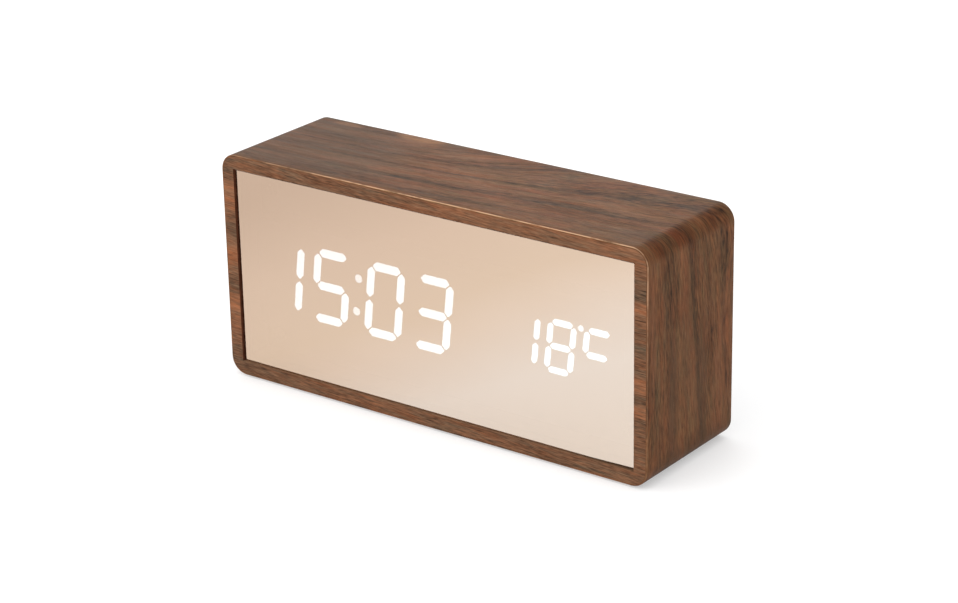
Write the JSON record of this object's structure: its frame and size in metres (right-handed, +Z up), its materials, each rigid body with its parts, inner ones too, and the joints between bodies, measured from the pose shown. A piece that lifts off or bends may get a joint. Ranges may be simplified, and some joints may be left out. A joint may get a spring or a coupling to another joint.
{
  "type": "digital alarm clock",
  "caption": "Free-standing digital alarm clock: a walnut-veneered box with rounded edges, a copper-tinted mirror front with a lit display behind it, and rear buttons, power socket and battery door.",
  "frame": {"origin": "on the table top, under the middle of the case", "axes": "+X to the viewer's right along the case, +Y from the front to the back, +Z up"},
  "size_m": [0.15, 0.044, 0.0706],
  "materials": {
    "mdf": "raw fibreboard, stained dark in the panel's recess",
    "pine": "sawn softwood",
    "walnut": "satin walnut veneer",
    "foot_rubber": "matt",
    "copper_mirror": "copper-tinted see-through mirror",
    "tape": "black foam tape",
    "housing": "black, light-tight",
    "segment_lit": "milky diffuser, lit",
    "segment_unlit": "milky diffuser, unlit",
    "led": "phosphor chip",
    "circuit_board": "green solder mask",
    "steel": "zinc-plated",
    "nickel": "nickel-plated",
    "chip": "moulded epoxy",
    "header": "ivory nylon",
    "ribbon": "grey PVC ribbon",
    "cover_plastic": "black, fine spark texture",
    "button_plastic": "satin black",
    "switch_plastic": "moulded",
    "capacitor_sleeve": "shrink sleeve",
    "cell_jacket": "plain printed jacket",
    "lead_red": "PVC insulation",
    "lead_black": "PVC insulation"
  },
  "bodies": {
    "clock_case": {"top_board": "mdf", "bottom_board": "mdf", "left_board": "mdf", "right_board": "mdf", "corner_blocks": "pine", "veneer_wrap": "walnut", "front_veneer": "walnut", "rear_veneer": "walnut", "rubber_feet": "foot_rubber", "mirror_panel": "copper_mirror", "panel_tape": "tape", "segment_housing": "housing", "lit_segments": "segment_lit", "unlit_segments": "segment_unlit", "led_chips": "led", "display_board": "circuit_board", "display_screws": "steel", "display_driver": "chip", "display_header": "header", "ribbon_cable": "ribbon", "main_header": "header", "rear_cover": "cover_plastic", "cover_screws": "steel", "main_board": "circuit_board", "board_screws": "steel", "controller_chip": "chip", "crystal_can": "nickel", "capacitor": "capacitor_sleeve", "buzzer": "switch_plastic", "microphone": "nickel", "temperature_sensor": "chip", "usb_shell": "nickel", "usb_tongue": "switch_plastic", "switch_bodies": "switch_plastic", "battery_cells": "cell_jacket", "battery_springs": "nickel", "contact_plates": "nickel", "positive_lead": "lead_red", "negative_lead": "lead_black"},
    "set_key": {"set_button": "button_plastic", "set_plunger": "header"},
    "up_key": {"up_button": "button_plastic", "up_plunger": "header"},
    "down_key": {"down_button": "button_plastic", "down_plunger": "header"},
    "door": {"battery_door": "cover_plastic"}
  },
  "joints": [
    {"name": "set_press", "type": "slide", "parent": "clock_case", "child": "set_key", "axis": [0, -1, 0], "range_m": [0, 0.0005], "stiffness_N_per_m": 1500},
    {"name": "up_press", "type": "slide", "parent": "clock_case", "child": "up_key", "axis": [0, -1, 0], "range_m": [0, 0.0005], "stiffness_N_per_m": 1500},
    {"name": "down_press", "type": "slide", "parent": "clock_case", "child": "down_key", "axis": [0, -1, 0], "range_m": [0, 0.0005], "stiffness_N_per_m": 1500},
    {"name": "door_swing", "type": "hinge", "parent": "clock_case", "child": "door", "pos_m": [-0.03, 0.0201, 0.0191], "axis": [-1, 0, 0], "range_deg": [0, 95]}
  ]
}
